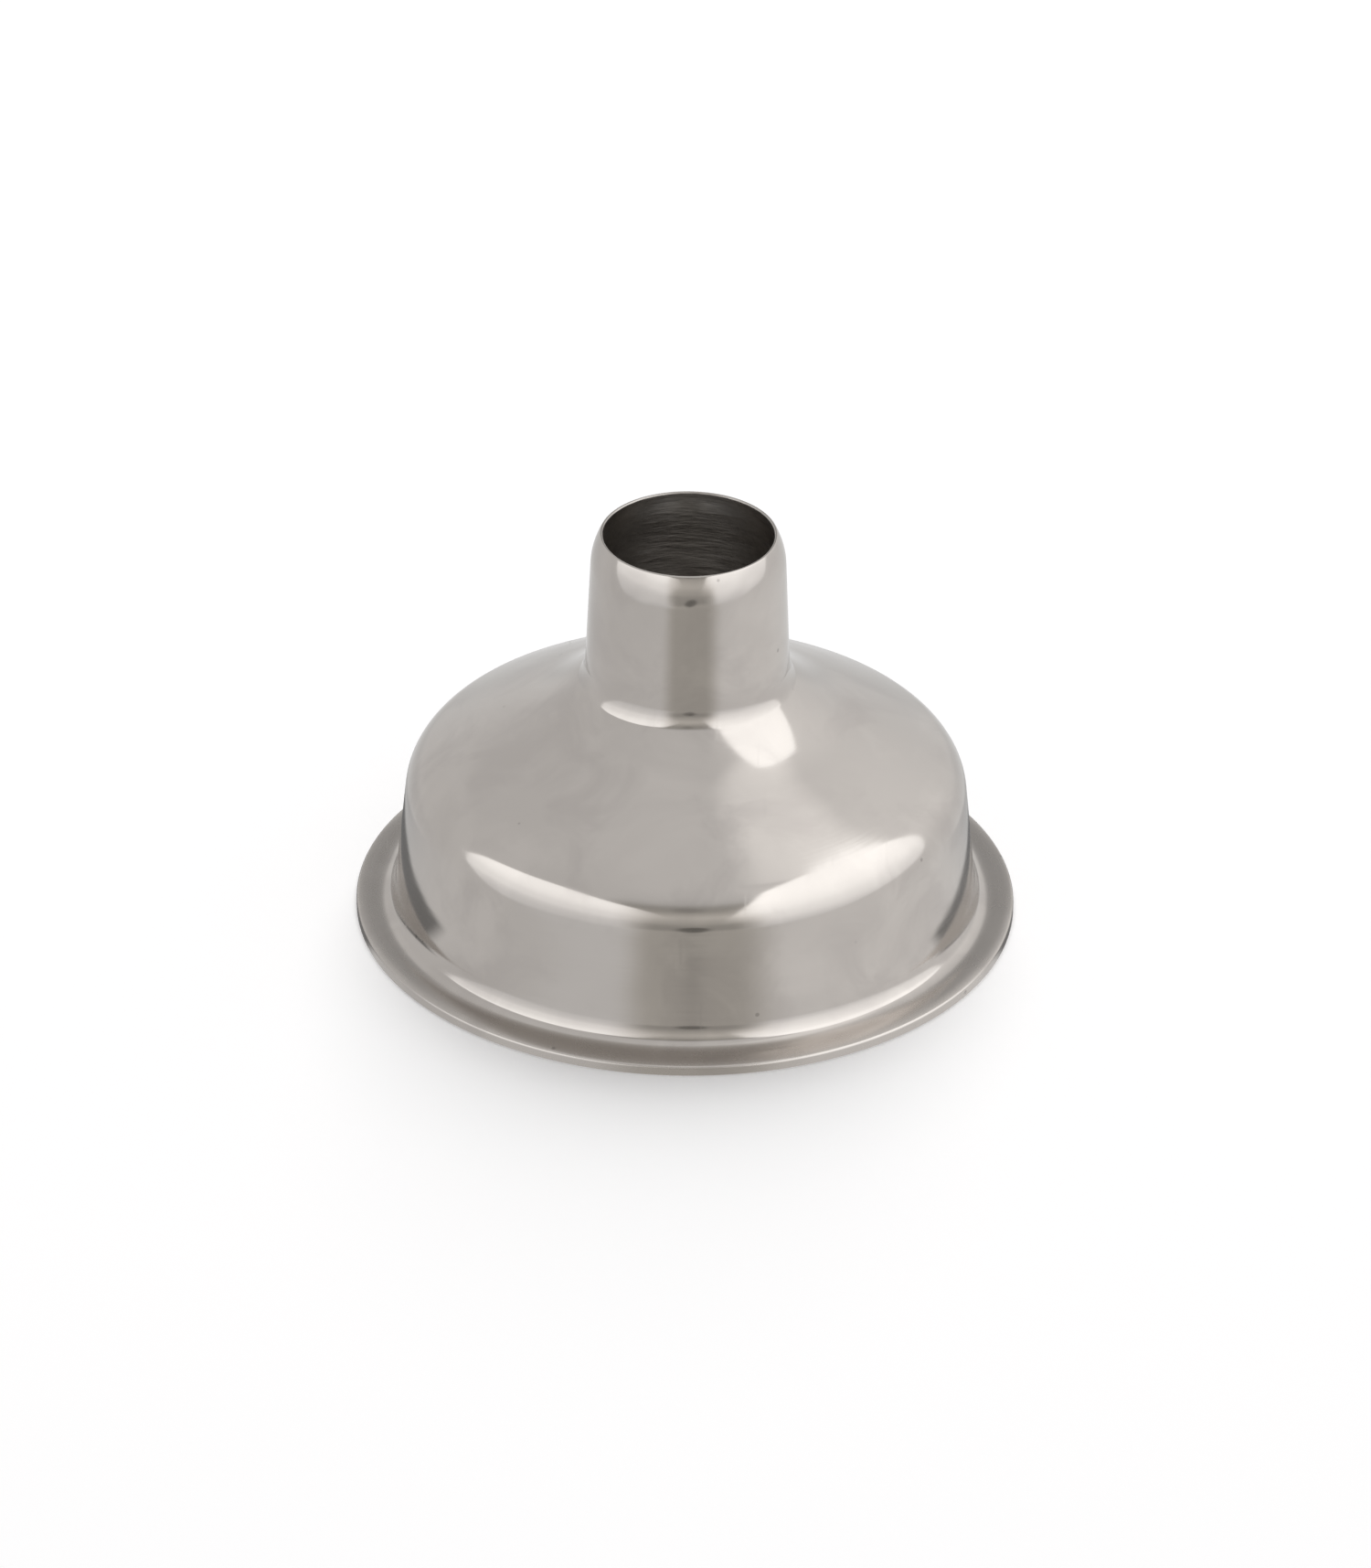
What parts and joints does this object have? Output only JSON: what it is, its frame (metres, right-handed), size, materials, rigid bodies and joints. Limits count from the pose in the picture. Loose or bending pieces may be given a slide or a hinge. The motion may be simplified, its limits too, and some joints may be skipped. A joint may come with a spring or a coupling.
{
  "type": "canning funnel",
  "caption": "Small drawn stainless steel funnel with a rolled rim, a straight-sided bowl and a short nosed spout, standing upside down on its rim.",
  "frame": {"origin": "centre of the rim, in the plane of the rim's cut edge, on which the funnel stands upside down", "axes": "+Z along the funnel's axis, from the rim towards the spout's tip; X and Y are any two directions across it"},
  "size_m": [0.037, 0.037, 0.0236],
  "materials": {
    "bowl_steel": "polished stainless steel",
    "spout_steel": "polished stainless steel"
  },
  "bodies": {
    "root": {"bowl": "bowl_steel", "spout": "spout_steel"}
  },
  "joints": []
}
